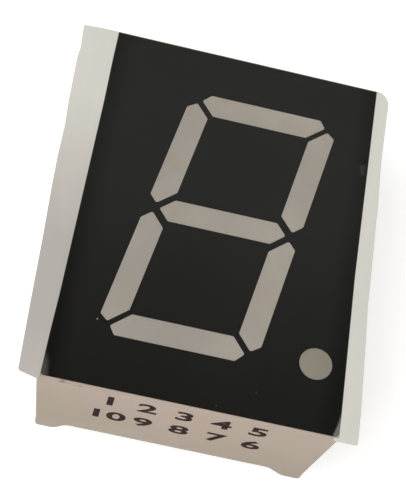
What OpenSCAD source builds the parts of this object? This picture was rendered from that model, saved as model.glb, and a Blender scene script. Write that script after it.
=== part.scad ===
// Single digit seven segment display, lying face up on its pins.
// Origin: centre of the pin pattern, on the plane of the four corner feet.
// +X to the digit's right, +Y to its top, +Z out of the face.

/* [Housing] */
// Width of the face
face_w = 20.44; // [18:0.02:26]
// Distance of the face's upper and lower edges beyond the rows of pins
face_past_rows = 2.56; // [2.1:0.02:4]
// Depth of the side walls, from the face to their back edge
wall_depth = 9; // [6.5:0.1:12]
// Lean of the upper and lower walls towards the back, in degrees
wall_draft = 1.8; // [0.5:0.1:2.5]
// Lean of the left and right walls towards the back, in degrees
side_draft = 2.7; // [0.5:0.1:3.5]
// Thickness of the side walls at their back edge
wall_t = 0.8; // [0.7:0.05:1.2]
// Radius of the four upright edges
edge_r = 0.2; // [0.1:0.05:0.6]
// Height of the corner feet under the walls
foot_h = 1.1; // [0.5:0.1:2]
// Length of a foot along the lower and upper walls, before its ramp
foot_w = 1.4; // [1.2:0.1:3]
// Length of a foot along the side walls
foot_l = 2; // [1.5:0.1:4]
// Length of the ramp beside a left foot
foot_ramp_left = 0.8; // [0.5:0.1:2]
// Length of the ramp beside a right foot
foot_ramp_right = 1.2; // [0.5:0.1:3]
// Radius of the outer lower edge of a foot
foot_r = 0.35; // [0.1:0.05:0.45]
// Radius of the two bends of a ramp
ramp_r = 0.8; // [0.2:0.1:0.8]

/* [Printed mask] */
// Thickness of the black ink layer
mask_t = 0.05; // [0.02:0.01:0.1]
// Bare margin between the ink and the left and right edges of the face
mask_side_margin = 0.26; // [0.22:0.01:0.5]
// Bare margin between the ink and the upper and lower edges of the face
mask_end_margin = 0.1; // [0.02:0.01:0.5]
// Growth of the ink to the right, at its lower right corner
mask_flare = 0.14; // [0.02:0.01:0.2]
// Height of the part of the ink's right edge that grows
mask_flare_h = 11.9; // [5:0.1:15]
// Radius of the ink's lower left corner
mask_left_r = 0.2; // [0.05:0.05:0.5]
// Radius of the ink's lower right corner
mask_right_r = 0.3; // [0.05:0.05:0.5]

/* [Digit] */
// Height of the digit
digit_h = 20.32; // [17:0.02:24.4]
// Width of the digit across its upright bars, before the slant
digit_w = 11.06; // [9.5:0.02:12]
// Width of the bars
stroke = 1.75; // [1.3:0.05:2.2]
// Slant of the digit, in degrees
slant = 9.8; // [0:0.1:12]
// Shift of the digit to the right of the face's centre
digit_x = 0.07; // [-0.5:0.01:0.5]
// Shift of the digit above the face's centre
digit_y = 0.06; // [-0.3:0.01:0.3]
// Distance of the corner joints inside the digit's outline
joint_in = 0.62; // [0.5:0.01:0.8]
// Distance of the bar tips from a corner joint
corner_tip = 0.29; // [0.2:0.01:0.5]
// Distance of the bar tips from a middle joint
middle_tip = 0.37; // [0.2:0.01:0.5]
// Length of the outer cut at the ends of the lying bars
end_cut = 0.5; // [0.2:0.01:0.9]
// Length of the outer cut at the ends of the upright bars
side_cut = 0.47; // [0.2:0.01:0.9]
// Radius of the corners of a bar
bar_r = 0.15; // [0.05:0.01:0.2]
// Diameter of the decimal point
point_d = 2.28; // [1.6:0.02:2.6]
// Distance of the decimal point's centre from the face's right edge
point_in = 2.3; // [2.1:0.01:2.6]
// Distance of the decimal point's centre from the face's lower edge
point_up = 4.93; // [4.2:0.01:6]

/* [Light wells] */
// Width of a bar's well at the board, as a share of its window
well_narrow = 0.72; // [0.6:0.01:0.95]
// Width of the decimal point's well at the board, as a share of its window
point_narrow = 0.6; // [0.5:0.01:0.7]
// Length of a bar's well at the board, as a share of its window
well_short = 0.9; // [0.8:0.01:0.98]
// Thickness of the plastic left around the wells beside the two core pockets
rib_t = 0.9; // [0.6:0.05:1.5]
// Thickness of the front plate over the core pockets
plate_t = 1.2; // [0.8:0.1:2]

/* [Circuit board] */
// Thickness of the board
board_t = 1; // [0.6:0.1:1.2]
// Clearance between the board's edge and the walls
board_gap = 0.1; // [0.05:0.01:0.3]
// Thickness of the sealing resin behind the board
seal_t = 1.6; // [1:0.1:2]
// Depth of the sealing resin below the walls' back edge
seal_in = 0.4; // [0.2:0.1:0.8]
// Thickness of the copper
copper_t = 0.035; // [0.02:0.005:0.07]
// Width of the tracks
track_w = 0.4; // [0.2:0.05:0.6]
// Width of the pads under the dice
pad_w = 0.6; // [0.4:0.05:0.8]
// Diameter of the plated holes that join the two sides
via_d = 0.3; // [0.2:0.05:0.4]

/* [Light sources] */
// Width of a die
die_w = 0.3; // [0.2:0.01:0.4]
// Height of a die
die_h = 0.2; // [0.1:0.01:0.3]
// Distance of a bar's two dice from its middle
die_pitch = 2.1; // [1.9:0.05:2.3]
// Diameter of the bond wires
wire_d = 0.03; // [0.02:0.005:0.05]
// Span of a bond wire, from its die to its pad
wire_span = 0.8; // [0.6:0.05:0.85]
// Diameter of the ball that joins a bond wire to its die
ball_d = 0.075; // [0.05:0.005:0.12]

/* [Pins] */
// Diameter of the pins below the sealing resin
pin_d = 0.5; // [0.4:0.05:0.6]
// Diameter of a pin at its upper end, to which it tapers inside the housing
pin_head_d = 0.46; // [0.3:0.02:0.6]
// Diameter of the flat at a pin's tip
pin_flat_d = 0.25; // [0.1:0.05:0.35]
// Reach of the pins below the feet
pin_reach = 4.1; // [2.5:0.1:6]
// Spacing of the pins along a row
pin_pitch = 2.54; // [2:0.02:2.6]
// Distance of each row beyond the digit's upper or lower edge
row_out = 1.27; // [1.05:0.01:1.6]
// Height of the pins above the board
pin_stub = 0.6; // [0.3:0.05:0.9]
// Length of the cone at a pin's tip
pin_tip = 0.2; // [0.05:0.05:0.4]
// Clearance of the pins in the board's holes, on the diameter
pin_gap = 0.35; // [0.1:0.01:0.5]
// Diameter of the solder around a pin
solder_d = 1.3; // [1.05:0.05:1.5]
// Thickness of the solder at the top of a pin
solder_rim = 0.05; // [0.02:0.01:0.1]

/* [Protective film] */
// Thickness of the film
film_t = 0.08; // [0.04:0.01:0.2]
// Reach of the film past the face's left edge, at its upper corner
film_left_corner = 2.5; // [1:0.05:4]
// Reach of the film past the face's left edge, just below that corner
film_left_top = 2.14; // [1:0.02:4]
// Reach of the film past the face's left edge, at its lower end
film_left_bottom = 1.16; // [0.9:0.02:4]
// Reach of the film past the face's right edge, at its upper end
film_right_top = 0.8; // [0.6:0.02:4]
// Reach of the film past the face's right edge, halfway down
film_right_middle = 0.65; // [0.5:0.01:4]
// Reach of the film past the face's right edge, at its lower end
film_right_bottom = 1.2; // [0.8:0.05:4]
// Reach of the film past the face's lower edge
film_past_bottom = 0.22; // [0.05:0.01:1]
// Rise of the film's lower edge from the face's lower left corner to its left end
film_left_rise = 0.3; // [0:0.05:1]
// Bare strip between the film and the face's upper edge
film_short_top = 0.08; // [0:0.01:0.5]
// Radius of the film's upper right corner
film_corner_r = 1; // [0.3:0.1:1]
// Radius of the film's lower corners
film_small_r = 0.2; // [0.1:0.05:0.4]

/* [Hidden] */
$fn = 48;
// The pins in a row
row_pins = 5;
// Steps of the small rounded corners
corner_steps = 4;
// A cut runs this far past a face that it opens
past = 0.5;
// Height of the straight brims that the leaning walls are stretched between
brim = 0.01;

// Heights, from the feet upwards
back_z = foot_h;
seal_z = back_z + seal_in;
board_z = seal_z + seal_t;
deck_z = board_z + board_t;
block_z = deck_z + copper_t;
face_z = back_z + wall_depth;
mask_z = face_z + mask_t;

// Distance between the two rows of pins, and height of the face
row_gap = digit_h + 2 * row_out;
face_h = row_gap + 2 * face_past_rows;

// The walls' outline at the back, and the recess inside them
back_w = face_w - 2 * wall_depth * tan(side_draft);
back_h = face_h - 2 * wall_depth * tan(wall_draft);
recess_w = back_w - 2 * wall_t;
recess_h = back_h - 2 * wall_t;
board_w = recess_w - 2 * board_gap;
board_h = recess_h - 2 * board_gap;

// The digit's outline before the slant
half_w = digit_w / 2;
half_h = digit_h / 2;
joint_x = half_w - joint_in;
joint_y = half_h - joint_in;
point_at = [face_w / 2 - point_in, point_up - face_h / 2];

// Height of the ball that joins a bond wire to its die
ball_h = wire_d;
// Copper kept past a die and past the foot of a wire
pad_end = 0.3;
pad_foot = 0.2;
// Distance of the plated holes past the wires of a bar, and past the die and the wire of the point
bar_via_step = 0.35;
point_via_step = 0.9;
// Copper under the board, and the holes for the pins
rear_z = board_z - copper_t;
hole_d = pin_d + pin_gap;

// The film's waist, the length of its flared corner and the radius of a sharp corner
film_waist = 3;
film_flare = 2;
film_sharp_r = 0.1;

// The relief in the block over the pins' stubs, with its clearance around them and above them
relief_gap = 0.15;
relief_rise = 0.3;
relief_w = solder_d + 2 * relief_gap;
relief_l = (row_pins - 1) * pin_pitch + relief_w;
relief_h = pin_stub + relief_rise;

bar_names = ["a", "b", "c", "d", "e", "f", "g"];
lamp_count = 2 * len(bar_names) + 1;

// Wiring, in the order of the bars: pins are counted from 0, and an end is 1 for the right or upper one
common_pins = [2, 7];
point_pin = 4;
signal_pins = [6, 5, 3, 1, 0, 8, 9];
common_end = [-1, -1, 1, 1, 1, -1, 1];
// Whether a line leaves its pin along the row before it turns to its bar
along_row_first = [false, true, true, false, true, false, false];
// Distance of the outermost line from the middle
outer_lane = 7.2;

// Points

function unit(v) = v / norm(v);
function angle(v) = atan2(v.y, v.x);
// An outline with each corner turned into an arc, of radius r or of its own radius in a list
// A radius of 0 leaves the corner sharp
function rounded(p, r, steps = corner_steps) = [
    for (i = [0:len(p) - 1])
        let (
            size = is_list(r) ? r[i] : r,
            before = unit(p[(i + len(p) - 1) % len(p)] - p[i]),
            after = unit(p[(i + 1) % len(p)] - p[i]),
            half = acos(before * after) / 2,
            middle = p[i] + unit(before + after) * size / sin(half),
            first = angle(p[i] + before * size / tan(half) - middle),
            last = angle(p[i] + after * size / tan(half) - middle),
            turn = (last - first + 540) % 360 - 180)
        for (k = [0:size > 0 ? steps : 0])
            middle + size * [cos(first + turn * k / steps), sin(first + turn * k / steps)]];
// A point of the upright digit, slanted and put on the face
function on_face(q) = [digit_x + q.x + q.y * tan(slant), digit_y + q.y];
function box_points(w, h) = [[-w, -h] / 2, [w, -h] / 2, [w, h] / 2, [-w, h] / 2];

// The upper bar, between two corner joints
top_tip = joint_x - corner_tip;
top_inner = top_tip - (joint_y - (half_h - stroke));
top_bar = [
    [-top_tip, joint_y], [end_cut - top_tip, half_h], [top_tip - end_cut, half_h],
    [top_tip, joint_y], [top_inner, half_h - stroke], [-top_inner, half_h - stroke]];
// The upper right bar, between a corner joint and a middle joint
side_top = joint_y - corner_tip;
side_in = half_w - stroke;
side_bar = [
    [joint_x, side_top], [half_w, side_top - side_cut], [half_w, middle_tip + joint_in],
    [joint_x, middle_tip], [side_in, middle_tip + joint_x - side_in],
    [side_in, side_top - (joint_x - side_in)]];
// The middle bar, between the two middle joints
cross_tip = joint_x - middle_tip;
middle_bar = [
    [-cross_tip, 0], [stroke / 2 - cross_tip, stroke / 2], [cross_tip - stroke / 2, stroke / 2],
    [cross_tip, 0], [cross_tip - stroke / 2, -stroke / 2], [stroke / 2 - cross_tip, -stroke / 2]];

function flipped(p, sx, sy) = [for (q = p) [q.x * sx, q.y * sy]];
function bar_upright(name) =
    name == "a" ? top_bar :
    name == "d" ? flipped(top_bar, 1, -1) :
    name == "g" ? middle_bar :
    flipped(side_bar, name == "e" || name == "f" ? -1 : 1, name == "c" || name == "e" ? -1 : 1);
function bar_points(name) = rounded([for (q = bar_upright(name)) on_face(q)], bar_r);
// The middle of a bar and the direction along it
side_mid = (side_top + middle_tip) / 2;
side_x = half_w - stroke / 2;
function bar_middle(name) = on_face(
    name == "a" ? [0, half_h - stroke / 2] :
    name == "d" ? [0, stroke / 2 - half_h] :
    name == "g" ? [0, 0] :
    [name == "e" || name == "f" ? -side_x : side_x, name == "c" || name == "e" ? -side_mid : side_mid]);
function lies_flat(name) = name == "a" || name == "d" || name == "g";
function bar_turn(name) = lies_flat(name) ? 0 : 90 - slant;

// Places of the dice, the feet of their wires and the plated holes
// A lamp is a die and its wire, given along its bar from the bar's middle
function lamp_bar(i) = bar_names[floor(i / 2)];
function is_point_lamp(i) = i == lamp_count - 1;
function lamp_shift(i) = is_point_lamp(i) ? -wire_span / 2 : (i % 2 == 0 ? -die_pitch : die_pitch);
module at_bar(name) {
    middle = bar_middle(name);
    translate([middle.x, middle.y, 0]) rotate(bar_turn(name)) children();
}
module at_point() {
    translate([point_at.x, point_at.y, 0]) rotate(90) children();
}
module at_lamp(i) {
    if (is_point_lamp(i))
        at_point() translate([lamp_shift(i), 0, block_z]) children();
    else
        at_bar(lamp_bar(i)) translate([lamp_shift(i), 0, block_z]) children();
}
// The plated holes at the two ends of a lamp pair, as points of the board
bar_via = die_pitch + wire_span + bar_via_step;
point_via = wire_span / 2 + point_via_step;
function bar_via_at(name, end) =
    bar_middle(name) + end * bar_via * [cos(bar_turn(name)), sin(bar_turn(name))];
function point_via_at(end) = point_at + [0, end * point_via];
via_places = concat(
    [for (n = bar_names) for (end = [-1, 1]) bar_via_at(n, end)],
    [for (end = [-1, 1]) point_via_at(end)]);

// Pins, counted from the lower left, to the right and back along the upper row
function pin_at(i) =
    let (column = i < row_pins ? i : 2 * row_pins - 1 - i)
    [(column - (row_pins - 1) / 2) * pin_pitch, (i < row_pins ? -1 : 1) * row_gap / 2];
module at_pins() {
    for (i = [0:2 * row_pins - 1]) translate(pin_at(i)) children();
}

// Tapered wells, from the board to the face

// A well is one taper through the plate and the ink, so that plate, ink and resin share its faces
module tapered_well(outline, share) {
    translate([0, 0, mask_z]) mirror([0, 0, 1])
        linear_extrude(mask_z - deck_z, scale = share, slices = 1) polygon(outline);
}
module bar_well(name) {
    turn = bar_turn(name);
    outline = [for (q = bar_points(name)) let (v = q - bar_middle(name))
        [v.x * cos(turn) + v.y * sin(turn), v.y * cos(turn) - v.x * sin(turn)]];
    at_bar(name) tapered_well(outline, [well_short, well_narrow]);
}
module point_well() {
    at_point() translate([0, 0, deck_z])
        cylinder(d1 = point_d * point_narrow, d2 = point_d, h = mask_z - deck_z);
}
module all_wells() {
    for (name = bar_names) bar_well(name);
    point_well();
}

// Housing

function wall_outline(w, h) = rounded(box_points(w, h), edge_r);
module drafted_walls() {
    hull() {
        translate([0, 0, face_z - brim]) linear_extrude(brim) polygon(wall_outline(face_w, face_h));
        translate([0, 0, back_z]) linear_extrude(brim) polygon(wall_outline(back_w, back_h));
    }
}

// One foot, as seen from the front, on the side given by the sign
module foot(side_x, side_y) {
    ramp = side_x < 0 ? foot_ramp_left : foot_ramp_right;
    outer = back_w / 2;
    inner = outer - foot_w - ramp - 2 * past;
    profile = [
        [outer, back_z + past], [inner, back_z + past], [inner, back_z],
        [outer - foot_w - ramp, back_z], [outer - foot_w, 0], [outer, 0]];
    radii = [0, 0, 0, ramp_r, ramp_r, foot_r];
    scale([side_x, side_y, 1])
        translate([0, back_h / 2, 0]) rotate([90, 0, 0]) linear_extrude(foot_l)
            polygon(rounded(profile, radii));
}
module feet() {
    intersection() {
        union() {
            for (side_x = [-1, 1]) for (side_y = [-1, 1]) foot(side_x, side_y);
        }
        linear_extrude(back_z + past) polygon(wall_outline(back_w, back_h));
    }
}

module recess(bottom, top) {
    translate([0, 0, bottom]) linear_extrude(top - bottom)
        polygon(rounded(box_points(recess_w, recess_h), edge_r));
}

// The inside of one loop of the digit, less the ribs that carry the wells
module core_pocket(side) {
    low = stroke / 2 + rib_t;
    high = half_h - stroke - rib_t;
    out = side_in - rib_t;
    corners = [[-out, low], [out, low], [out, high], [-out, high]];
    translate([0, 0, deck_z]) linear_extrude(face_z - plate_t - deck_z)
        polygon(rounded([for (q = flipped(corners, 1, side)) on_face(q)], edge_r));
}

// The relief over one row of pin stubs
module stub_relief(side) {
    translate([0, side * row_gap / 2, deck_z]) linear_extrude(copper_t + relief_h)
        polygon(rounded(box_points(relief_l, relief_w), edge_r));
}

module reflector_housing() {
    color([0.72, 0.67, 0.6]) difference() {
        union() {
            drafted_walls();
            feet();
        }
        recess(-past, block_z);
        all_wells();
        for (side = [-1, 1]) {
            core_pocket(side);
            stub_relief(side);
        }
    }
}

// Print and film

module face_mask() {
    x = face_w / 2 - mask_side_margin;
    y = face_h / 2 - mask_end_margin;
    outline = [[-x, -y], [x + mask_flare, -y], [x, mask_flare_h - y], [x, y], [-x, y]];
    color([0.15, 0.15, 0.14]) difference() {
        translate([0, 0, face_z]) linear_extrude(mask_t)
            polygon(rounded(outline, [mask_left_r, mask_right_r, 0, 0, 0]));
        all_wells();
    }
}

module protective_film() {
    top = face_h / 2 - film_short_top;
    bottom = -face_h / 2 - film_past_bottom;
    outline = [
        [-face_w / 2 - film_left_bottom, bottom + film_left_rise], [-face_w / 2, bottom],
        [face_w / 2 + film_right_bottom, bottom],
        [face_w / 2 + film_right_middle, film_waist], [face_w / 2 + film_right_top, top],
        [-face_w / 2 - film_left_corner, top], [-face_w / 2 - film_left_top, top - film_flare]];
    radii = [
        film_small_r, film_small_r, film_small_r, film_corner_r, film_corner_r, film_sharp_r,
        film_corner_r];
    color([0.8, 0.78, 0.74, 0.5]) translate([0, 0, mask_z]) linear_extrude(film_t)
        polygon(rounded(outline, radii));
}

// Board, copper and solder

module slab(from_z, to_z, w, h) {
    translate([-w / 2, -h / 2, from_z]) cube([w, h, to_z - from_z]);
}

module circuit_board() {
    color([0.16, 0.34, 0.2]) difference() {
        slab(board_z, deck_z, board_w, board_h);
        at_pins() translate([0, 0, board_z - past]) cylinder(d = hole_d, h = board_t + 2 * past);
        for (p = via_places)
            translate([p.x, p.y, board_z - past]) cylinder(d = via_d, h = board_t + 2 * past);
    }
}

// A pad on the board's front that runs along a bar, between two places along it
module pad(from, to) {
    translate([from, -pad_w / 2, deck_z]) cube([to - from, pad_w, copper_t]);
}
module bar_pads() {
    pad(-bar_via - pad_w / 2, pad_end - die_pitch);
    pad(wire_span - die_pitch - pad_foot, die_pitch + pad_end);
    pad(die_pitch + wire_span - pad_foot, bar_via + pad_w / 2);
}
module point_pads() {
    pad(-point_via - pad_w / 2, pad_end - wire_span / 2);
    pad(wire_span / 2 - pad_foot, point_via + pad_w / 2);
}

// A track on the board's back, through the points of its route
module track(route) {
    for (i = [0:len(route) - 2]) {
        step = route[i + 1] - route[i];
        translate([route[i].x, route[i].y, rear_z]) rotate(angle(step))
            translate([0, -track_w / 2, 0]) cube([norm(step), track_w, copper_t]);
    }
    for (p = route) translate([p.x, p.y, rear_z]) cylinder(d = track_w, h = copper_t);
}
// The common line runs up the middle, with a branch to one end of each bar
module common_tracks() {
    track([pin_at(common_pins[0]), pin_at(common_pins[1])]);
    for (i = [0:len(bar_names) - 1]) {
        end = bar_via_at(bar_names[i], common_end[i]);
        track([[0, end.y], end]);
    }
    start = bar_via_at("c", common_end[2]);
    finish = point_via_at(1);
    track([start, [finish.x, start.y], finish]);
}
// Each bar's other end has a line to its own pin
module signal_tracks() {
    for (i = [0:len(bar_names) - 1]) {
        pin = pin_at(signal_pins[i]);
        end = bar_via_at(bar_names[i], -common_end[i]);
        if (bar_names[i] == "g")
            track([pin, [-outer_lane, pin.y], [-outer_lane, end.y], end]);
        else
            track([pin, along_row_first[i] ? [end.x, pin.y] : [pin.x, end.y], end]);
    }
    end = point_via_at(-1);
    track([pin_at(point_pin), [end.x, pin_at(point_pin).y], end]);
}

module copper_tracks() {
    color([0.75, 0.48, 0.28]) {
        difference() {
            union() {
                common_tracks();
                signal_tracks();
                for (z = [rear_z, deck_z]) at_pins() translate([0, 0, z])
                    cylinder(d = solder_d, h = copper_t);
            }
            at_pins() translate([0, 0, rear_z - past])
                cylinder(d = hole_d, h = block_z - rear_z + 2 * past);
        }
        for (name = bar_names) at_bar(name) bar_pads();
        at_point() point_pads();
        for (p = via_places)
            translate([p.x, p.y, rear_z]) cylinder(d = via_d, h = block_z - rear_z);
    }
}

module solder_fillets() {
    color([0.7, 0.71, 0.73]) difference() {
        at_pins() {
            translate([0, 0, rear_z]) cylinder(d = hole_d, h = block_z - rear_z);
            translate([0, 0, block_z])
                cylinder(d1 = solder_d, d2 = pin_head_d + 2 * solder_rim, h = pin_stub - copper_t);
        }
        at_pins() {
            pin_body();
            translate([0, 0, deck_z + pin_stub]) cylinder(d = pin_head_d, h = past);
        }
    }
}

module back_resin() {
    color([0.82, 0.8, 0.74]) difference() {
        recess(seal_z, deck_z);
        slab(board_z, deck_z, board_w, board_h);
        at_pins() {
            pin_body();
            translate([0, 0, rear_z]) cylinder(d = solder_d, h = copper_t);
        }
        common_tracks();
        signal_tracks();
    }
}

// Dice and bond wires

module led_die(i) {
    color([0.85, 0.82, 0.55]) at_lamp(i) translate([-die_w / 2, -die_w / 2, 0])
        cube([die_w, die_w, die_h]);
}
// The wire is a ball on the die, a half turn, and a straight leg down to its pad
module bond_wire(i) {
    bend_z = die_h + ball_h;
    color([0.9, 0.72, 0.3]) at_lamp(i) {
        translate([0, 0, die_h]) cylinder(d = ball_d, h = ball_h);
        translate([wire_span / 2, 0, bend_z]) rotate([90, 0, 0])
            rotate_extrude(angle = 180) translate([wire_span / 2, 0]) circle(d = wire_d);
        translate([wire_span, 0, 0]) cylinder(d = wire_d, h = bend_z);
    }
}

// Milky resin of the windows

module segment(i) {
    name = bar_names[i];
    color([0.63, 0.59, 0.55]) difference() {
        bar_well(name);
        at_bar(name) bar_pads();
        for (end = [-1, 1]) at_via(bar_via_at(name, end));
        for (k = [2 * i, 2 * i + 1]) {
            led_die(k);
            bond_wire(k);
        }
    }
}
module decimal_point() {
    color([0.53, 0.5, 0.45]) difference() {
        point_well();
        at_point() point_pads();
        for (end = [-1, 1]) at_via(point_via_at(end));
        led_die(lamp_count - 1);
        bond_wire(lamp_count - 1);
    }
}
// The top of a plated hole
module at_via(p) {
    translate([p.x, p.y, deck_z]) cylinder(d = via_d, h = copper_t);
}

// Pins

// A pin is straight up to the sealing resin and tapers from there to its head
module pin_body() {
    top = deck_z + pin_stub;
    rotate_extrude() polygon([
        [0, -pin_reach], [pin_flat_d / 2, -pin_reach], [pin_d / 2, pin_tip - pin_reach],
        [pin_d / 2, seal_z], [pin_head_d / 2, top], [0, top]]);
}
module pin(i) {
    color([0.78, 0.79, 0.8]) translate(pin_at(i)) pin_body();
}

reflector_housing();
face_mask();
protective_film();
circuit_board();
copper_tracks();
solder_fillets();
back_resin();
decimal_point();
for (i = [0:len(bar_names) - 1])
    segment(i);
for (i = [0:lamp_count - 1]) led_die(i);
for (i = [0:lamp_count - 1]) bond_wire(i);
for (i = [0:2 * row_pins - 1]) pin(i);
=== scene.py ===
# %% [markdown]
# A single digit display, dressed in Blender.
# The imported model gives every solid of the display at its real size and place. This lesson keeps
# those solids, gives each of them the finish of its real material, and models again the two pieces
# that need more than a plain solid: the moulded housing and the thin film on the face.

# %% Load the frame
import math
import bmesh
import bpy
from mathutils import Matrix, Vector
from mathutils.bvhtree import BVHTree


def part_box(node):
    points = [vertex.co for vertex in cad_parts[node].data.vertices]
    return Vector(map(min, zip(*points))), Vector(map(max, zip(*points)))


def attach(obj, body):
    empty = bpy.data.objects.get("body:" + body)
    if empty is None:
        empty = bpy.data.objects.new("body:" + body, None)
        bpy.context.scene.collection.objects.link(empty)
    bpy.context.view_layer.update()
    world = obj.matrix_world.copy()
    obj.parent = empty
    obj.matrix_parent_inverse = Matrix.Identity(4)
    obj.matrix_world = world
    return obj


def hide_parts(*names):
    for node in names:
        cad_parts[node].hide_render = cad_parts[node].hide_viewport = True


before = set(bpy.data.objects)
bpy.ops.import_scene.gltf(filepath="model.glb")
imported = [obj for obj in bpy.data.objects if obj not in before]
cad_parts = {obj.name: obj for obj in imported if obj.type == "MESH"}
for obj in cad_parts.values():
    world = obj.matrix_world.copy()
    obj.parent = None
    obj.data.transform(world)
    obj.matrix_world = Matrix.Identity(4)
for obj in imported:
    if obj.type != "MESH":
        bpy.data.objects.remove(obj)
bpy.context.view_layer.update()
MM = 0.001

# %% [markdown]
# Places come from the frame, so that a piece still fits if the part is built at other sizes.
# The housing's box gives the face's edges and the feet, and the ink's box gives the front plane.

# %% Measure the display
edge_x, edge_y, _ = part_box("reflector_housing")[1]
ink_low, ink_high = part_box("face_mask")
film_low, film_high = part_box("protective_film")
face_z = ink_low.z
pin_tip_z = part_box("pin_1")[0].z
FACE = face_z / MM
print("face in mm", round(2 * edge_x / MM, 2), "x", round(2 * edge_y / MM, 2), "at", round(FACE, 2))

# %% [markdown]
# The camera comes first. It looks down from about ten centimetres away, in front of the face and a
# little to its left, and is rolled so that the digit leans as in the photograph. The angles and the
# lens were fitted to the edges of the black face, of the bars, of the lower wall and of its feet.

# %% Camera
CAMERA_PLACE = Vector((-8.287, -46.739, 94.052)) * MM
CAMERA_TURN = (26.5882, -9.6318, 9.0882)
CAMERA_LENS = 99.014
SENSOR = 36

camera_data = bpy.data.cameras.new("camera")
camera_data.sensor_fit = "VERTICAL"
camera_data.sensor_height = SENSOR
camera_data.lens = CAMERA_LENS
camera_data.clip_start = MM
camera = bpy.data.objects.new("camera", camera_data)
camera.location = CAMERA_PLACE
camera.rotation_euler = [math.radians(turn) for turn in CAMERA_TURN]
bpy.context.collection.objects.link(camera)
bpy.context.scene.camera = camera
print("camera", [round(c / MM, 1) for c in CAMERA_PLACE], "mm, lens", CAMERA_LENS)

# %% [markdown]
# Every material here is a small graph of nodes. These helpers keep such a graph readable: paint turns
# a colour as a picture shows it into the linear values that shaders use, finish starts a material, and
# add puts a node in it. A number that is the same all over goes on the shader's own socket.

# %% Helpers for materials
def paint(red, green, blue):
    """A colour in picture values from 0 to 255, as linear red, green, blue and alpha."""
    shares = [channel / 255 for channel in (red, green, blue)]
    return [s / 12.92 if s < 0.04045 else ((s + 0.055) / 1.055) ** 2.4 for s in shares] + [1]


def finish(name, **values):
    """A new material, with plain values for its shader: roughness=0.4 sets the socket Roughness."""
    material = bpy.data.materials.new(name)
    material.use_nodes = True
    shader = material.node_tree.nodes["Principled BSDF"]
    for socket, value in values.items():
        shader.inputs[socket.replace("_", " ").title().replace("Ior", "IOR")].default_value = value
    return material


def add(material, kind, inputs, output=0, **settings):
    """A new node: inputs by name or number, each a value or another node's output."""
    tree = material.node_tree
    node = tree.nodes.new(kind)
    for setting, value in settings.items():
        setattr(node, setting, value)
    for key, value in inputs.items():
        if isinstance(value, bpy.types.NodeSocket):
            tree.links.new(value, node.inputs[key])
        else:
            node.inputs[key].default_value = value
    return node.outputs[output]


def drive(material, socket, value):
    """Lead a node's output to a socket of the material's shader."""
    shader = material.node_tree.nodes["Principled BSDF"]
    material.node_tree.links.new(value, shader.inputs[socket])


print("a mid grey of 128 is", round(paint(128, 128, 128)[0], 3), "in linear light")

# %% [markdown]
# Patterns read Object coordinates. Every piece sits at the origin with its place in its mesh, so
# these are metres in the display's own frame, and a noise of scale 1000 has lumps of about 1 mm.

# %% Helpers for patterns
def place_on(material, stretch=(1, 1, 1), turn=0):
    """Object coordinates, stretched and turned about Z by degrees."""
    coordinates = add(material, "ShaderNodeTexCoord", {}, output="Object")
    angles = (0, 0, math.radians(turn))
    return add(material, "ShaderNodeMapping", {"Vector": coordinates, "Scale": stretch, "Rotation": angles})


def noise(material, place, scale, detail=3.0):
    """A cloudy pattern, from 0 to 1."""
    return add(material, "ShaderNodeTexNoise", {"Vector": place, "Scale": scale, "Detail": detail})


def remap(material, value, low, high, to_low=0.0, to_high=1.0):
    """A value that runs smoothly from to_low to to_high while the input runs from low to high."""
    limits = {"From Min": low, "From Max": high, "To Min": to_low, "To Max": to_high}
    return add(material, "ShaderNodeMapRange", {"Value": value, **limits}, interpolation_type="SMOOTHSTEP")


def ramp(material, value, low, high):
    """A straight ramp from 0 to 1 while the input runs from low to high, which stops at both ends."""
    return add(material, "ShaderNodeMapRange", {"Value": value, "From Min": low, "From Max": high})


def along(material, place, axis):
    """One coordinate of a place: X, Y or Z."""
    return add(material, "ShaderNodeSeparateXYZ", {"Vector": place}, output=axis)


def calculate(material, operation, first, second):
    """One step of arithmetic between two values."""
    return add(material, "ShaderNodeMath", {0: first, 1: second}, operation=operation)


def blend_colors(material, factor, first, second):
    """The first colour where factor is 0, the second where it is 1."""
    return add(material, "ShaderNodeMix", {0: factor, 6: first, 7: second}, output=2, data_type="RGBA")


def grain(material, height, depth, strength=1.0):
    """Small relief for the shader's normal, with its depth in metres."""
    drive(material, "Normal", add(material, "ShaderNodeBump",
                                  {"Height": height, "Distance": depth, "Strength": strength}))


def near(material, place, centre, inner, outer):
    """1 within the inner radius of a point, and 0 past the outer one, in millimetres."""
    point = [c * MM for c in centre]
    distance = add(material, "ShaderNodeVectorMath", {0: place, 1: point}, output="Value",
                   operation="DISTANCE")
    return remap(material, distance, inner * MM, outer * MM, 1.0, 0.0)


print("pattern helpers ready")

# %% [markdown]
# A bmesh becomes an object through one helper. It shades the faces smooth, but keeps each edge sharp
# where two faces meet at more than a given angle, as a moulded piece has it.

# %% Helpers for meshes
def cad_copy(node, merge=0.0005):
    """The mesh of a CAD node, with its loose triangles joined. The distance is in millimetres."""
    mesh = bmesh.new()
    mesh.from_mesh(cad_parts[node].data)
    bmesh.ops.remove_doubles(mesh, verts=mesh.verts, dist=merge * MM)
    return mesh


def make_piece(mesh, name, material, sharp=30):
    """An object from a bmesh, which rides on the body and takes its finish from a slot."""
    for face in mesh.faces:
        face.smooth = True
    for edge in mesh.edges:
        edge.smooth = len(edge.link_faces) == 2 and edge.calc_face_angle(math.pi) < math.radians(sharp)
    data = bpy.data.meshes.new(name)
    mesh.to_mesh(data)
    mesh.free()
    data.materials.append(material)
    piece = bpy.data.objects.new(name, data)
    bpy.context.collection.objects.link(piece)
    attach(piece, "root")
    print(name, "has", len(data.polygons), "faces")
    return piece


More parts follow.
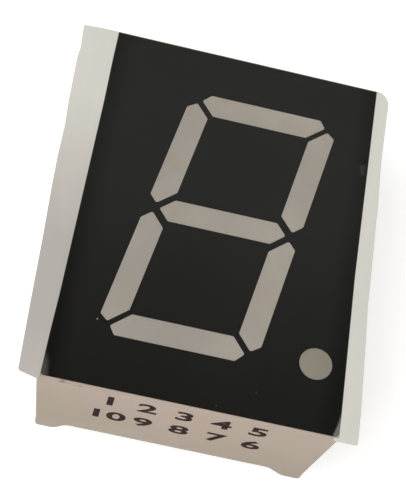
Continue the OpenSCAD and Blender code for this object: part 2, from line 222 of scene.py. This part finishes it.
# %% [markdown]
# The housing is moulded in a pale, slightly warm plastic with a satin skin. Its colour runs a little,
# from a lighter pink near the face to a darker olive near the feet and the ends, and handling has left
# two brown blotches just under the face's edge. Between them a fine brown line runs along the film's
# lower edge. Ramps towards the face and the ends, and clouds of noise, give the change of colour. A
# blotch is a soft ball around its place, broken up by noise, and the line is such a ball in a space
# that is squeezed along X.

# %% Plastic of the housing
PLASTIC_PINK = paint(187, 168, 152)
PLASTIC_OLIVE = paint(172, 157, 137)
MARK_BROWN = paint(112, 74, 54)
SCUFFS = [((-8.46, -13.98, FACE - 0.2), 0.34), ((-7.26, -13.98, FACE - 0.33), 0.2)]
FILM_EDGE_LINE = (-7.85, -13.98, FACE - 0.27)
SQUEEZE = 0.12
LINE_STRENGTH = 0.45
END_DRIFT = 0.3

plastic = finish("housing_plastic", roughness=0.45, specular_ior_level=0.22)
plastic_place = place_on(plastic)
towards_face = remap(plastic, along(plastic, plastic_place, "Z"), 1 * MM, face_z)
clouds = noise(plastic, plastic_place, 180.0)
aside = calculate(plastic, "ABSOLUTE", along(plastic, plastic_place, "X"), 0.0)
drift = calculate(plastic, "MULTIPLY", calculate(plastic, "ADD", towards_face, clouds), 0.5)
to_end = calculate(plastic, "MULTIPLY", ramp(plastic, aside, 0, edge_x), END_DRIFT)
drift = calculate(plastic, "SUBTRACT", drift, to_end)
plastic_color = blend_colors(plastic, remap(plastic, drift, 0.0, 0.75), PLASTIC_OLIVE, PLASTIC_PINK)
mark_cloud = remap(plastic, noise(plastic, plastic_place, 5200.0, 3.0), 0.3, 0.55, 0.35, 1.0)
line_at = (FILM_EDGE_LINE[0] * SQUEEZE, *FILM_EDGE_LINE[1:])
line = near(plastic, place_on(plastic, (SQUEEZE, 1, 1)), line_at, 0.02, 0.08)
blotches_and_line = calculate(plastic, "MULTIPLY", line, LINE_STRENGTH)
for scuff_at, scuff_r in SCUFFS:
    blotches_and_line = calculate(plastic, "MAXIMUM", blotches_and_line, near(plastic, plastic_place, scuff_at, 0.03, scuff_r))
blotches_and_line = calculate(plastic, "MULTIPLY", blotches_and_line, mark_cloud)
drive(plastic, "Base Color", blend_colors(plastic, blotches_and_line, plastic_color, MARK_BROWN))
drive(plastic, "Roughness", remap(plastic, clouds, 0.3, 0.7, 0.4, 0.52))
grain(plastic, noise(plastic, plastic_place, 9000.0, 2.0), 0.004 * MM)
print("plastic:", len(plastic.node_tree.nodes), "nodes and", len(SCUFFS), "blotches")

# %% [markdown]
# The housing's solid has the right form, but its outer edges are knife sharp, and a moulded edge
# never is. So this piece is the same solid, joined and with the lines inside flat faces dissolved, and
# only the edges of its outer skin get a small round with the bevel operator. The rims of the windows
# stay as they are, because the ink and the resin meet them.

# %% Housing
EDGE_ROUND = 0.05
SKIN_DEPTH = 0.4
EDGE_ANGLE = 40


def on_skin(edge):
    """Whether an edge is a real corner of the housing's outer walls."""
    lean = SKIN_DEPTH * MM
    outside = all(abs(v.co.x) > edge_x - lean or abs(v.co.y) > edge_y - lean for v in edge.verts)
    return outside and len(edge.link_faces) == 2 and edge.calc_face_angle(0) > math.radians(EDGE_ANGLE)


shell = cad_copy("reflector_housing")
bmesh.ops.dissolve_limit(shell, angle_limit=math.radians(0.2), verts=shell.verts, edges=shell.edges)
skin_edges = [edge for edge in shell.edges if on_skin(edge)]
bmesh.ops.bevel(shell, geom=skin_edges, offset=EDGE_ROUND * MM, offset_type="OFFSET", segments=3,
                profile=0.5, affect="EDGES", clamp_overlap=True, material=-1)
housing = make_piece(shell, "moulded_housing", plastic)
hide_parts("reflector_housing")
print("rounded", len(skin_edges), "edges")

# %% [markdown]
# The black face is screen-printed ink. It isn't one black here: painted sheen and painted shade make it
# darker towards the lower edge and towards the sides. The squeegee has left faint fine lines across it,
# and a smudge and a few specks of dust are caught under the film. Ramps along X and Y paint the sheen
# and the shade, stretched noise makes the lines, and each speck is a small spot at its own place.

# %% Ink of the face, with painted sheen and shade
# The two blacks are a shaded and a sheen-lit copy of the ink, blended below as painted light.
INK_IN_SHADE = paint(13, 13, 12)
INK_IN_SHEEN = paint(39, 39, 37)
DUST = paint(150, 148, 142)
INK_TOP = ink_high.z / MM
SPECKS = [((-7.1, -9.2, INK_TOP), 0.08, 1.0), ((4.2, -12.0, INK_TOP), 0.07, 0.3),
          ((1.7, -13.5, INK_TOP), 0.06, 0.3), ((9.5, 7.05, INK_TOP), 0.34, 0.07),
          ((9.52, 6.6, INK_TOP), 0.3, 0.06)]

INK_LEAST = 0.09
PAINTED_SHEEN_UP = {"low": -13.2 * MM, "high": 2 * MM}
PAINTED_SHEEN_SHARE = 0.69
PAINTED_SHADE_ASIDE = {"low": 8.2 * MM, "high": 9.9 * MM}
PAINTED_SHADE_SHARE = 0.4
INK_CLOUD_SHARE = 0.2
INK_LINE_SHARE = 0.1

ink = finish("face_ink", roughness=0.5, specular_ior_level=0.03)
ink_place = place_on(ink)
ink_lines = noise(ink, place_on(ink, (1, 0.06, 1), -12), 5200.0, 2.0)
ink_clouds = noise(ink, ink_place, 150.0)
# Painted sheen makes the ink lighter upwards from its lower edge, and painted shade darkens it towards the
# sides.
upward = ramp(ink, along(ink, ink_place, "Y"), **PAINTED_SHEEN_UP)
ink_aside = calculate(ink, "ABSOLUTE", along(ink, ink_place, "X"), 0.0)
painted_side_shade = remap(ink, ink_aside, **PAINTED_SHADE_ASIDE)
ink_shading_and_tone = calculate(ink, "ADD", calculate(ink, "MULTIPLY", upward, PAINTED_SHEEN_SHARE), INK_LEAST)
ink_shading_and_tone = calculate(ink, "SUBTRACT", ink_shading_and_tone, calculate(ink, "MULTIPLY", painted_side_shade, PAINTED_SHADE_SHARE))
ink_shading_and_tone = calculate(ink, "ADD", ink_shading_and_tone, calculate(ink, "MULTIPLY", ink_clouds, INK_CLOUD_SHARE))
ink_shading_and_tone = calculate(ink, "ADD", ink_shading_and_tone, calculate(ink, "MULTIPLY", ink_lines, INK_LINE_SHARE))
ink_color = blend_colors(ink, ink_shading_and_tone, INK_IN_SHADE, INK_IN_SHEEN)
for speck_at, speck_r, strength in SPECKS:
    speck = calculate(ink, "MULTIPLY", near(ink, ink_place, speck_at, speck_r * 0.4, speck_r), strength)
    ink_color = blend_colors(ink, speck, ink_color, DUST)
drive(ink, "Base Color", ink_color)
drive(ink, "Roughness", remap(ink, ink_lines, 0.3, 0.7, 0.45, 0.6))
grain(ink, ink_lines, 0.002 * MM)
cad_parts["face_mask"].data.materials[0] = ink
print("ink:", len(ink.node_tree.nodes), "nodes and", len(SPECKS), "specks")

# %% [markdown]
# Each bar is a milky resin that fills its well and hides the dice. It isn't quite even: slow clouds
# of a warmer and a cooler grey run through it, and some light goes into it, which subsurface
# scattering gives. The point's resin is a little darker and greener.

# %% Resin of the bars and the point
def milky_resin(name, light, shade, warm):
    """A clouded resin between three tones."""
    resin = finish(name, roughness=0.45, specular_ior_level=0.3, subsurface_weight=0.15,
                   subsurface_scale=0.6 * MM)
    place = place_on(resin)
    slow = noise(resin, place, 110.0, 2.0)
    patches = noise(resin, place, 420.0, 3.0)
    tone = blend_colors(resin, remap(resin, slow, 0.35, 0.65), shade, light)
    warmth = calculate(resin, "MULTIPLY", remap(resin, patches, 0.5, 0.75), 0.6)
    drive(resin, "Base Color", blend_colors(resin, warmth, tone, warm))
    drive(resin, "Roughness", remap(resin, patches, 0.3, 0.7, 0.4, 0.52))
    grain(resin, noise(resin, place, 7000.0, 2.0), 0.0015 * MM)
    return resin


bar_resin = milky_resin("bar_resin", paint(166, 158, 146), paint(157, 149, 139), paint(158, 146, 132))
point_resin = milky_resin("point_resin", paint(140, 136, 122), paint(131, 127, 114), paint(134, 126, 110))
bars = [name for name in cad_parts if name.startswith("segment_")]
for name in bars:
    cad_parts[name].data.materials[0] = bar_resin
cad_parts["decimal_point"].data.materials[0] = point_resin
print("resin on", len(bars), "bars and the point")

# %% [markdown]
# The film is a thin matt sheet. Where it sticks to the ink it looks clear, and past the ink's sides it
# scatters light and looks pale, nearly solid. The part that hangs over the lower wall is clear again,
# since the wall is close behind it. One shader does all of it: its alpha is low on the ink, high past a
# rim on each side, and in between where the film has lifted.

# %% Film
STUCK_ALPHA = 0.002
FREE_ALPHA = 0.88
HANGING_ALPHA = 0.05
# The film's colour comes as a lit and a shaded copy, blended further down as painted shading.
FILM_LIT = paint(228, 225, 215)
FILM_SHADED = paint(191, 186, 179)
RIM_BLUR = 0.03
LEFT_RIM = 9.91
LEFT_RIM_BEND = 0.06
LEFT_BEND_PLACE = {"low": 7 * MM, "high": 12 * MM}
RIGHT_RIM = 9.89
RIGHT_RIM_FLARE = 0.2
RIGHT_FLARE_PLACE = {"low": 2 * MM, "high": 12.5 * MM}
CORNER_RETURN = 0.35

film = finish("matt_film", roughness=0.45, specular_ior_level=0.1)
film_place = place_on(film)
film_x = along(film, film_place, "X")
film_y = along(film, film_place, "Y")
leftward = calculate(film, "MULTIPLY", film_x, -1.0)
below = calculate(film, "MULTIPLY", film_y, -1.0)


def past_rim(outward, rim, growth, where):
    """1 past a rim that moves outwards by a growth, in millimetres, where a value nears 1."""
    moved = calculate(film, "SUBTRACT", outward, calculate(film, "MULTIPLY", where, growth * MM))
    return remap(film, moved, (rim - RIM_BLUR) * MM, (rim + RIM_BLUR) * MM)


to_ends = remap(film, calculate(film, "ABSOLUTE", film_y, 0.0), **LEFT_BEND_PLACE)
free_left = past_rim(leftward, LEFT_RIM, LEFT_RIM_BEND, to_ends)
hanging = remap(film, below, edge_y - RIM_BLUR * MM, edge_y + RIM_BLUR * MM)
returned = calculate(film, "ADD", film_x, calculate(film, "MULTIPLY", hanging, CORNER_RETURN * MM))
free_right = past_rim(returned, RIGHT_RIM, RIGHT_RIM_FLARE, ramp(film, below, **RIGHT_FLARE_PLACE))
free = calculate(film, "MAXIMUM", free_left, free_right)
print("film is pale past", LEFT_RIM, "mm on the left and", RIGHT_RIM, "mm on the right")

# %% [markdown]
# Near its two lower corners the film has come off the ink and shows as a grey haze. On the right this
# is a small triangle whose inner rim bends away from the side, and on the left a soft dark band. Noise
# stretched along Y gives both a feathered rim.

# %% Haze where the film has lifted
RIGHT_HAZE = {"top": 11.9, "length": 1.9, "start": 10.05, "bend": 0.36, "power": 2.0, "blur": 0.1}
LEFT_HAZE = {"top": 12.0, "length": 1.8, "start": 9.95, "bend": 0.4, "power": 0.7, "blur": 0.24}
RIGHT_HAZE_ALPHA = 0.12
LEFT_HAZE_ALPHA = 0.055
HAZE_RAGGED = 0.12

haze_streaks = noise(film, place_on(film, (1, 0.25, 1)), 3200.0, 3.0)


def lifted(outward, top, length, start, bend, power, blur):
    """1 past a curve that leaves the side at the top and bends inwards down to the bottom."""
    down = ramp(film, below, top * MM, (top + length) * MM)
    curve = calculate(film, "MULTIPLY", calculate(film, "POWER", down, power), bend * MM)
    ragged = calculate(film, "MULTIPLY", calculate(film, "SUBTRACT", haze_streaks, 0.5), HAZE_RAGGED * MM)
    inside = calculate(film, "ADD", calculate(film, "ADD", outward, curve), ragged)
    past = remap(film, inside, (start - blur) * MM, (start + blur) * MM)
    return calculate(film, "MULTIPLY", past, remap(film, down, 0.0, 0.5))


right_haze = calculate(film, "MULTIPLY", lifted(film_x, **RIGHT_HAZE), RIGHT_HAZE_ALPHA)
left_haze = calculate(film, "MULTIPLY", lifted(leftward, **LEFT_HAZE), LEFT_HAZE_ALPHA)
alpha = calculate(film, "ADD", calculate(film, "ADD", right_haze, left_haze), STUCK_ALPHA)
alpha = calculate(film, "MAXIMUM", alpha, calculate(film, "MULTIPLY", hanging, HANGING_ALPHA))
alpha = calculate(film, "MAXIMUM", alpha, calculate(film, "MULTIPLY", free, FREE_ALPHA))
drive(film, "Alpha", alpha)
print("haze over", RIGHT_HAZE["length"], "mm on the right and", LEFT_HAZE["length"], "mm on the left")

# %% [markdown]
# The hanging strips carry painted shading. The right one is the lightest, and painted shade darkens the
# left one from its flared upper corner towards its lower end, where painted light lifts it a little
# again, with soft clouds in it.

# %% Painted shading of the film
LEFT_LEAST = 0.1
LEFT_PAINTED_SHADE = {"low": -8 * MM, "high": 5 * MM}
LEFT_END = {"low": 9 * MM, "high": 14 * MM}
LEFT_END_PAINTED_LIGHT = 0.25
RIGHT_PAINTED_SHADE = {"low": -14 * MM, "high": 14 * MM}
RIGHT_SHARE = 0.15
FILM_CLOUD_SHARE = 0.25

to_right = remap(film, film_x, -2 * MM, 2 * MM)
film_clouds = noise(film, place_on(film, (1, 0.3, 1)), 500.0, 2.0)
# Painted shade down each strip, and painted light at the left strip's lower end.
left_painted_shade = calculate(film, "ADD", ramp(film, below, **LEFT_PAINTED_SHADE), LEFT_LEAST)
painted_end_light = calculate(film, "MULTIPLY", ramp(film, below, **LEFT_END), LEFT_END_PAINTED_LIGHT)
left_painted_shade = calculate(film, "SUBTRACT", left_painted_shade, painted_end_light)
left_painted_shade = calculate(film, "MULTIPLY", left_painted_shade, calculate(film, "SUBTRACT", 1.0, to_right))
right_painted_shade = calculate(film, "MULTIPLY", ramp(film, below, **RIGHT_PAINTED_SHADE), to_right)
right_painted_shade = calculate(film, "MULTIPLY", right_painted_shade, RIGHT_SHARE)
film_shading_and_tone = calculate(film, "ADD", left_painted_shade, right_painted_shade)
unevenness = calculate(film, "MULTIPLY", calculate(film, "SUBTRACT", film_clouds, 0.5), FILM_CLOUD_SHARE)
film_shading_and_tone = calculate(film, "ADD", film_shading_and_tone, unevenness)
drive(film, "Base Color", blend_colors(film, film_shading_and_tone, FILM_LIT, FILM_SHADED))
grain(film, noise(film, film_place, 6000.0, 2.0), 0.002 * MM)
print("film:", len(film.node_tree.nodes), "nodes")

# %% [markdown]
# The sheet starts from the film's solid: its upper face is taken, cut into a fine grid with the bisect
# operator and given a small thickness with solidify. The strips that hang past the face droop by a few
# hundredths of a millimetre, with a slow wave along the wide left one. The grid has a line at the
# face's edges, so the sheet bends exactly where its support ends. The real film isn't cut quite
# straight: a few places up each long edge say how much wider or narrower its strip is there.

# %% Film sheet
SHEET_T = 0.05
GRID = 0.45
DROOP = 0.03
WAVE = 0.018
WAVE_LENGTH = 9.0
LIFT = 0.012
LIFT_TOP = 11.9
LIFT_LENGTH = 1.9
LIFT_ASIDE = 8.8
SEAT = 0.004
LEFT_EDGE = [(-14, 0.04), (-9, 0.1), (-4, 0.13), (0, 0.2), (2.4, 0.21), (5.1, 0.13), (7, 0.2),
             (11, 0.2), (13.9, -0.1)]
RIGHT_EDGE = [(-14, 0), (-12, 0.04), (-7, 0), (-4, -0.05), (0, 0.04), (3.6, 0.1), (6, -0.02),
              (8, -0.11), (13.9, -0.13)]
LEFT_FULL = 1.2
RIGHT_FULL = 0.6


def grid_lines(low, high, step, extra):
    """Places from low to high at even steps, with some extra ones."""
    count = int((high - low) / (step * MM))
    return sorted([low + (high - low) * i / count for i in range(1, count)] + extra)


def droop_at(x, y):
    """How far the sheet hangs below the face at a place, in metres."""
    over = max(abs(x) - edge_x, -y - edge_y, 0) / MM
    wave = WAVE * over * math.sin(y / MM * 2 * math.pi / WAVE_LENGTH) if x < 0 else 0
    return (DROOP * over ** 2 + wave) * MM


def lift_at(x, y):
    """How far the sheet has lifted off the ink near its lower corners, in metres."""
    down = min(max(-y / MM - LIFT_TOP, 0) / LIFT_LENGTH, 1)
    return LIFT * MM * down * min(max(abs(x) / MM - LIFT_ASIDE, 0), 1)


def wider_at(x, y):
    """How far a place past the face moves outwards, in metres: fully once it is far enough past."""
    places, full = (LEFT_EDGE, LEFT_FULL) if x < 0 else (RIGHT_EDGE, RIGHT_FULL)
    past = min(max(abs(x) - edge_x, 0) / MM / full, 1)
    for (y_low, low), (y_high, high) in zip(places, places[1:]):
        if y / MM <= y_high:
            share = max(y / MM - y_low, 0) / (y_high - y_low)
            return (low + (high - low) * share) * past * MM
    return places[-1][1] * past * MM


sheet = cad_copy("protective_film")
bmesh.ops.delete(sheet, geom=[face for face in sheet.faces if face.normal.z < 0.5], context="FACES")
bmesh.ops.dissolve_limit(sheet, angle_limit=math.radians(1), verts=[], edges=sheet.edges)
columns = grid_lines(film_low.x, film_high.x, GRID, [-edge_x, edge_x])
rows = grid_lines(film_low.y, film_high.y, GRID, [-edge_y])
cuts = [(Vector((x, 0, 0)), Vector((1, 0, 0))) for x in columns]
cuts += [(Vector((0, y, 0)), Vector((0, 1, 0))) for y in rows]
for point, across in cuts:
    everything = sheet.verts[:] + sheet.edges[:] + sheet.faces[:]
    bmesh.ops.bisect_plane(sheet, geom=everything, dist=1e-7, plane_co=point, plane_no=across)
bmesh.ops.recalc_face_normals(sheet, faces=sheet.faces)
if sum(face.normal.z for face in sheet.faces) > 0:
    bmesh.ops.reverse_faces(sheet, faces=sheet.faces)
for vertex in sheet.verts:
    side = -1 if vertex.co.x < 0 else 1
    vertex.co.x += side * wider_at(vertex.co.x, vertex.co.y)
bmesh.ops.solidify(sheet, geom=sheet.faces[:], thickness=SHEET_T * MM)
sheet_low = min(vertex.co.z for vertex in sheet.verts)
for vertex in sheet.verts:
    x, y, z = vertex.co
    vertex.co.z = ink_high.z + SEAT * MM + (z - sheet_low) + lift_at(x, y) - droop_at(x, y)
film_sheet = make_piece(sheet, "film_sheet", film)
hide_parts("protective_film")
sheet_z = [vertex.co.z / MM for vertex in film_sheet.data.vertices]
print("film from", round(min(sheet_z), 3), "to", round(max(sheet_z), 3), "mm high")

# %% [markdown]
# The lower wall carries two rows of print. Here they are plain numbers: those of the five pins below
# the wall, and under them those of the five pins on the far side. It is thin ink, so each number is
# text turned into a mesh, with its strokes made bolder by the font's offset. Two rays sent at the wall
# find how it leans, and the numbers are laid on it.

# %% Print on the lower wall
PRINT_INK = paint(46, 32, 30)
PRINT_WORN = paint(70, 54, 47)
PRINT_HEIGHT = 1.6
PRINT_WIDEN = 1.2
PRINT_BOLD = 0.065
PRINT_T = 0.01
FIGURE_SHARE = 0.7
PIN_ROW = 5
NEAR_ROW_BELOW_FACE = 2.1
FAR_ROW_BELOW_FACE = 5.0

print_ink = finish("print_ink", roughness=0.6, specular_ior_level=0.02)
print_clouds = noise(print_ink, place_on(print_ink), 2400.0, 3.0)
print_color = blend_colors(print_ink, remap(print_ink, print_clouds, 0.45, 0.75), PRINT_INK, PRINT_WORN)
drive(print_ink, "Base Color", print_color)
grain(print_ink, print_clouds, 0.002 * MM)

wall_mesh = cad_copy("reflector_housing")
wall_tree = BVHTree.FromBMesh(wall_mesh)


def wall_at(below_face):
    """The place on the middle of the lower wall, at a distance below the face in millimetres."""
    start = Vector((0, -2 * edge_y, face_z - below_face * MM))
    return wall_tree.ray_cast(start, Vector((0, 1, 0)))[0]


wall_up = (wall_at(1) - wall_at(6)).normalized()
wall_turn = Matrix.Rotation(math.atan2(wall_up.z, wall_up.y), 4, "X")


def number_mesh(number):
    """A number as thin solid ink, centred on its own middle."""
    text = bpy.data.curves.new("number", "FONT")
    text.body = str(number)
    text.size = PRINT_HEIGHT * MM / FIGURE_SHARE
    text.offset = PRINT_BOLD * MM
    text.extrude = PRINT_T * MM / 2
    text.align_x = "CENTER"
    text.align_y = "CENTER"
    text.resolution_u = 4
    holder = bpy.data.objects.new("number", text)
    bpy.context.collection.objects.link(holder)
    bpy.context.view_layer.update()
    flat = bpy.data.meshes.new_from_object(holder.evaluated_get(bpy.context.evaluated_depsgraph_get()))
    bpy.data.objects.remove(holder)
    return flat


def print_number(printing, number, column, below_face):
    """Adds a number to the print, at the column of a pin."""
    spot = wall_at(below_face)
    stamp = number_mesh(number)
    wider = Matrix.Diagonal((PRINT_WIDEN, 1, 1, 1))
    stamp.transform(Matrix.Translation((column, spot.y, spot.z)) @ wall_turn @ wider)
    printing.from_mesh(stamp)


printing = bmesh.new()
for number in range(1, PIN_ROW + 1):
    low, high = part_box(f"pin_{number}")
    column = (low.x + high.x) / 2
    print_number(printing, number, column, NEAR_ROW_BELOW_FACE)
    print_number(printing, 2 * PIN_ROW + 1 - number, column, FAR_ROW_BELOW_FACE)
bmesh.ops.remove_doubles(printing, verts=printing.verts, dist=1e-8)
pin_numbers = make_piece(printing, "pin_numbers", print_ink, sharp=20)
wall_lean = math.degrees(math.atan2(wall_up.y, wall_up.z))
print("the wall leans by", round(wall_lean, 2), "degrees")

# %% [markdown]
# Behind the digit lies the circuit board. It can't be seen once the display is sealed, yet it is a
# real piece, so it has its real finish: green lacquer over woven glass, which two crossed waves show.

# %% Board
board = finish("board_lacquer", roughness=0.3, specular_ior_level=0.5)
board_place = place_on(board)
weave_x = add(board, "ShaderNodeTexWave", {"Vector": board_place, "Scale": 700.0, "Distortion": 1.0},
              output="Fac", bands_direction="X")
weave_y = add(board, "ShaderNodeTexWave", {"Vector": board_place, "Scale": 700.0, "Distortion": 1.0},
              output="Fac", bands_direction="Y")
weave = calculate(board, "MULTIPLY", weave_x, weave_y)
drive(board, "Base Color", blend_colors(board, weave, paint(28, 84, 44), paint(52, 110, 62)))
grain(board, weave, 0.004 * MM)
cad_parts["circuit_board"].data.materials[0] = board
print("board:", len(board.node_tree.nodes), "nodes")

# %% [markdown]
# Metals share one recipe: a metallic shader whose colour and roughness drift with noise, and a
# fine relief. Copper is warm and a little tarnished, tin is bright with a frosty grain, gold
# wire is clean, and the pins have fine lines along them from being drawn.

# %% Metals
def metal(name, bright, dull, rough, scale, stretch=(1, 1, 1)):
    """A metal between a bright and a dull tone."""
    material = finish(name, metallic=1.0)
    place = place_on(material, stretch)
    cloud = noise(material, place, scale, 4.0)
    drive(material, "Base Color", blend_colors(material, remap(material, cloud, 0.35, 0.7), bright, dull))
    drive(material, "Roughness", remap(material, cloud, 0.3, 0.7, rough, rough + 0.15))
    grain(material, cloud, 0.003 * MM)
    return material


METALS = {
    "copper_tracks": metal("copper", paint(216, 150, 112), paint(170, 108, 76), 0.3, 1200.0),
    "solder_fillets": metal("solder", paint(214, 216, 218), paint(170, 172, 175), 0.25, 1500.0),
    "bond_wire_": metal("gold_wire", paint(240, 205, 120), paint(214, 176, 92), 0.2, 9000.0),
    "pin_": metal("tinned_pin", paint(220, 221, 222), paint(176, 177, 178), 0.28, 2600.0, (1, 1, 0.12)),
}
for prefix, material in METALS.items():
    for name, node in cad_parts.items():
        if name.startswith(prefix):
            node.data.materials[0] = material
print("metals on", len(METALS), "kinds of pieces")

# %% [markdown]
# A die is a speck of pale yellow crystal with a sawn, slightly rough side. The sealing resin was
# poured in from behind: it is pale and glossy, slow clouds run through it, and a few tiny bubbles
# have stayed in its skin.

# %% Dice and sealing resin
die = finish("die_crystal", roughness=0.25, specular_ior_level=0.7)
die_cloud = noise(die, place_on(die, (1, 1, 4)), 6000.0)
drive(die, "Base Color", blend_colors(die, die_cloud, paint(222, 214, 150), paint(196, 186, 120)))
grain(die, die_cloud, 0.002 * MM)
for name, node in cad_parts.items():
    if name.startswith("led_die_"):
        node.data.materials[0] = die

sealing = finish("sealing_resin", roughness=0.18, specular_ior_level=0.5, coat_weight=0.3)
sealing_place = place_on(sealing)
sealing_clouds = noise(sealing, sealing_place, 150.0)
bubbles = add(sealing, "ShaderNodeTexVoronoi", {"Vector": sealing_place, "Scale": 420.0}, output="Distance")
bubble_mask = remap(sealing, bubbles, 0.05, 0.12, 1.0, 0.0)
sealing_tone = blend_colors(sealing, sealing_clouds, paint(226, 222, 208), paint(208, 202, 184))
drive(sealing, "Base Color", blend_colors(sealing, bubble_mask, sealing_tone, paint(186, 180, 162)))
surface = calculate(sealing, "SUBTRACT", sealing_clouds, calculate(sealing, "MULTIPLY", bubble_mask, 0.4))
grain(sealing, surface, 0.03 * MM)
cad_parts["back_resin"].data.materials[0] = sealing
print("sealing resin:", len(sealing.node_tree.nodes), "nodes")

# %% [markdown]
# The display stands on its pins on a plain white floor. To the camera, to reflections and to light
# through the film the floor adds a little light of its own, which takes it up to white, and it still
# takes the soft shadow of the display.

# %% Floor
FLOOR_SIZE = 900
FLOOR_GLOW = 0.42

floor_mesh = bmesh.new()
bmesh.ops.create_grid(floor_mesh, x_segments=1, y_segments=1, size=FLOOR_SIZE / 2 * MM,
                      matrix=Matrix.Translation((0, 0, pin_tip_z)))
floor_data = bpy.data.meshes.new("floor")
floor_mesh.to_mesh(floor_data)
floor_mesh.free()
floor = bpy.data.objects.new("floor", floor_data)
bpy.context.collection.objects.link(floor)


def seen_plainly(material):
    """1 for rays from the camera, from a reflection or through something clear."""
    path = material.node_tree.nodes.new("ShaderNodeLightPath")
    outputs = [path.outputs[name] for name in ("Is Camera Ray", "Is Glossy Ray", "Is Transmission Ray")]
    return calculate(material, "MAXIMUM", calculate(material, "MAXIMUM", outputs[0], outputs[1]), outputs[2])


floor_paint = finish("floor_paint", roughness=0.9, specular_ior_level=0.0, base_color=paint(244, 244, 244),
                     emission_color=(1, 1, 1, 1))
glow = calculate(floor_paint, "MULTIPLY", seen_plainly(floor_paint), FLOOR_GLOW)
drive(floor_paint, "Emission Strength", glow)
floor_data.materials.append(floor_paint)
print("floor at", round(pin_tip_z / MM, 2), "mm")

# %% [markdown]
# The light is plain and soft: a dim white world, one large lamp from the front left, a second from
# the front right, and a weak one behind that gives the matt film its broad sheen. Each lamp's power is
# worked out from the share of the light that it should give on the face, so that a colour renders
# about as it is written.

# %% World and lamps
WORLD_LIGHT = 0.28
LAMPS = {
    "key": ((-260, -200, 480), 380, 0.5),
    "fill": ((340, -280, 340), 400, 0.14),
    "sheen": ((40, 300, 520), 300, 0.08),
}

world = bpy.data.worlds.new("studio")
bpy.context.scene.world = world
world.use_nodes = True
backdrop = world.node_tree.nodes["Background"]
world_share = seen_plainly(world)
world_strength = add(world, "ShaderNodeMapRange",
                     {"Value": world_share, "To Min": WORLD_LIGHT, "To Max": 1.0})
world.node_tree.links.new(world_strength, backdrop.inputs["Strength"])
backdrop.inputs["Color"].default_value = (1, 1, 1, 1)


def lamp(name, place, size, share):
    """A square lamp that gives its share of the light on an upward face."""
    spot = Vector(place) * MM
    light = bpy.data.lights.new(name, "AREA")
    light.size = size * MM
    lift = spot.z / spot.length
    light.energy = share * math.pi ** 2 * spot.length_squared / lift
    holder = bpy.data.objects.new(name, light)
    holder.location = spot
    holder.rotation_euler = (-spot).to_track_quat("-Z", "Y").to_euler()
    bpy.context.collection.objects.link(holder)
    return light.energy


for lamp_name, (lamp_place, lamp_size, lamp_share) in LAMPS.items():
    print(lamp_name, "lamp of", round(lamp(lamp_name, lamp_place, lamp_size, lamp_share), 2), "W")
bpy.context.scene.view_settings.view_transform = "Standard"
